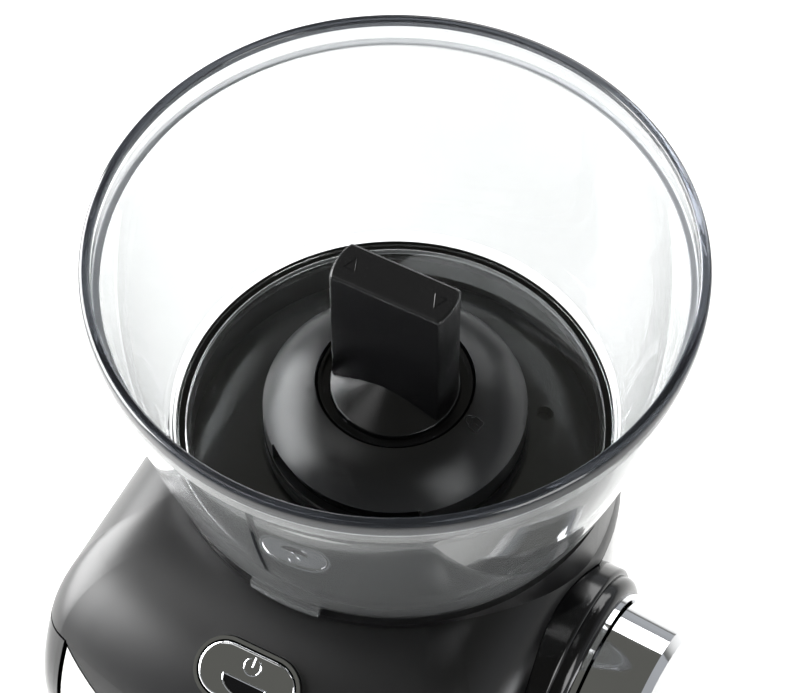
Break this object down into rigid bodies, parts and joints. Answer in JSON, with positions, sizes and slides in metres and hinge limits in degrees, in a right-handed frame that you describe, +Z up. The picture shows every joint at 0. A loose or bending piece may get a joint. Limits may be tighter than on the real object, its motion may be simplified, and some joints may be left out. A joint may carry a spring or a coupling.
{
  "type": "burr coffee grinder",
  "caption": "Upright electric conical-burr coffee grinder with a clear round hopper, shutter knob, power button, grind dial and a slide-out grounds bin.",
  "frame": {"origin": "drive axis of the burrs where it meets the table, at the foot ring's underside", "axes": "+Z up along the drive axis, -Y towards the front panel and button, +X towards the grind dial"},
  "size_m": [0.1616, 0.177, 0.3523],
  "materials": {
    "satin_black_abs": "fine satin moulding",
    "gloss_black_abs": "polished moulding",
    "clear_plastic": "clear polished moulding",
    "smoke_plastic": "smoky clear moulding",
    "chrome_plating": "bright plating",
    "brushed_steel": "fine brushed",
    "burr_steel": "hardened and ground",
    "plain_steel": "zinc plated",
    "nylon": "moulded nylon",
    "grey_plastic": "glass-filled moulding",
    "rubber": "matt moulded rubber",
    "bronze": "sintered bronze",
    "circuit_board": "solder mask",
    "dark_lens": "polished lens",
    "aluminium": "die cast"
  },
  "bodies": {
    "housing": {"rear_housing": "gloss_black_abs", "top_cover": "satin_black_abs", "front_panel": "brushed_steel", "head_floor": "satin_black_abs", "base_housing": "gloss_black_abs", "base_plate": "satin_black_abs", "foot_ring": "rubber", "deck_mat": "rubber", "base_screws": "plain_steel", "cord_gland": "rubber", "button_bezel": "chrome_plating", "tact_switch": "grey_plastic", "control_board": "circuit_board", "indicator_led": "dark_lens", "dial_trim_ring": "chrome_plating", "dial_bush": "bronze", "rack_guide": "grey_plastic", "grind_chamber": "grey_plastic", "upper_bearing": "plain_steel", "gearbox_base": "aluminium", "gearbox_lid": "grey_plastic", "gearbox_screws": "plain_steel", "lower_bush": "bronze", "idler_pin": "plain_steel", "motor_can": "plain_steel", "motor_end_cap": "aluminium", "motor_screws": "plain_steel", "grounds_chute": "satin_black_abs", "spout": "satin_black_abs", "interlock_switch": "grey_plastic", "power_board": "circuit_board"},
    "hopper_unit": {"hopper": "clear_plastic", "hopper_gasket": "rubber", "hopper_dome": "satin_black_abs"},
    "shutter_knob": {"hopper_knob": "gloss_black_abs", "hopper_shutter": "satin_black_abs", "knob_screw": "plain_steel"},
    "button": {"power_button": "chrome_plating", "button_lens": "dark_lens", "switch_plunger": "nylon"},
    "dial": {"dial_knob": "chrome_plating", "dial_shaft": "plain_steel", "dial_pinion": "nylon"},
    "rack": {"adjust_rack": "nylon"},
    "grind_ring": {"adjust_ring": "nylon"},
    "carrier": {"burr_carrier": "grey_plastic", "ring_burr": "burr_steel", "ring_burr_screws": "plain_steel"},
    "burr_drive": {"output_shaft": "plain_steel", "output_gear": "nylon", "cone_burr": "burr_steel", "sweeper": "nylon", "burr_nut": "plain_steel"},
    "idler": {"idler_gear": "plain_steel"},
    "rotor": {"motor_shaft": "plain_steel", "motor_armature": "burr_steel", "motor_pinion": "plain_steel"},
    "bin": {"grounds_bin": "smoke_plastic"},
    "lid": {"bin_lid": "satin_black_abs"}
  },
  "joints": [
    {"name": "hopper_lift", "type": "slide", "parent": "housing", "child": "hopper_unit", "axis": [0, 0, 1], "range_m": [0, 0.09]},
    {"name": "knob_turn", "type": "hinge", "parent": "hopper_unit", "child": "shutter_knob", "pos_m": [0, 0, 0.3], "axis": [0, 0, 1], "range_deg": [0, 90]},
    {"name": "button_press", "type": "slide", "parent": "housing", "child": "button", "axis": [0, 0.5422, -0.8402], "range_m": [0, 0.0015], "stiffness_N_per_m": 700},
    {"name": "dial_turn", "type": "hinge", "parent": "housing", "child": "dial", "pos_m": [0.07, -0.021, 0.232], "axis": [1, 0, 0], "range_deg": [-120, 120]},
    {"name": "rack_slide", "type": "slide", "parent": "housing", "child": "rack", "axis": [0, 1, 0], "range_m": [-0.012, 0.012]},
    {"name": "ring_turn", "type": "hinge", "parent": "housing", "child": "grind_ring", "pos_m": [0, 0, 0.241], "axis": [0, 0, 1], "range_deg": [-17, 17]},
    {"name": "carrier_lift", "type": "slide", "parent": "housing", "child": "carrier", "axis": [0, 0, 1], "range_m": [-0.00036, 0.00036]},
    {"name": "motor_spin", "type": "hinge", "parent": "housing", "child": "rotor", "pos_m": [0, 0.031, 0.13], "axis": [0, 0, 1], "continuous": true},
    {"name": "idler_spin", "type": "hinge", "parent": "housing", "child": "idler", "pos_m": [-0.0239, 0.01458, 0.19], "axis": [0, 0, 1], "continuous": true},
    {"name": "burr_spin", "type": "hinge", "parent": "housing", "child": "burr_drive", "pos_m": [0, 0, 0.22], "axis": [0, 0, 1], "continuous": true},
    {"name": "bin_slide", "type": "slide", "parent": "housing", "child": "bin", "axis": [0, -1, 0], "range_m": [0, 0.12]},
    {"name": "lid_lift", "type": "slide", "parent": "bin", "child": "lid", "axis": [0, 0, 1], "range_m": [0, 0.012]}
  ],
  "couplings": [
    {"joint": "rack_slide", "follows": "dial_turn", "m_per_rad": -0.0056},
    {"joint": "ring_turn", "follows": "dial_turn", "ratio": -0.14},
    {"joint": "carrier_lift", "follows": "dial_turn", "m_per_rad": 0.00016},
    {"joint": "idler_spin", "follows": "motor_spin", "ratio": -0.28889},
    {"joint": "burr_spin", "follows": "motor_spin", "ratio": 0.096296}
  ]
}
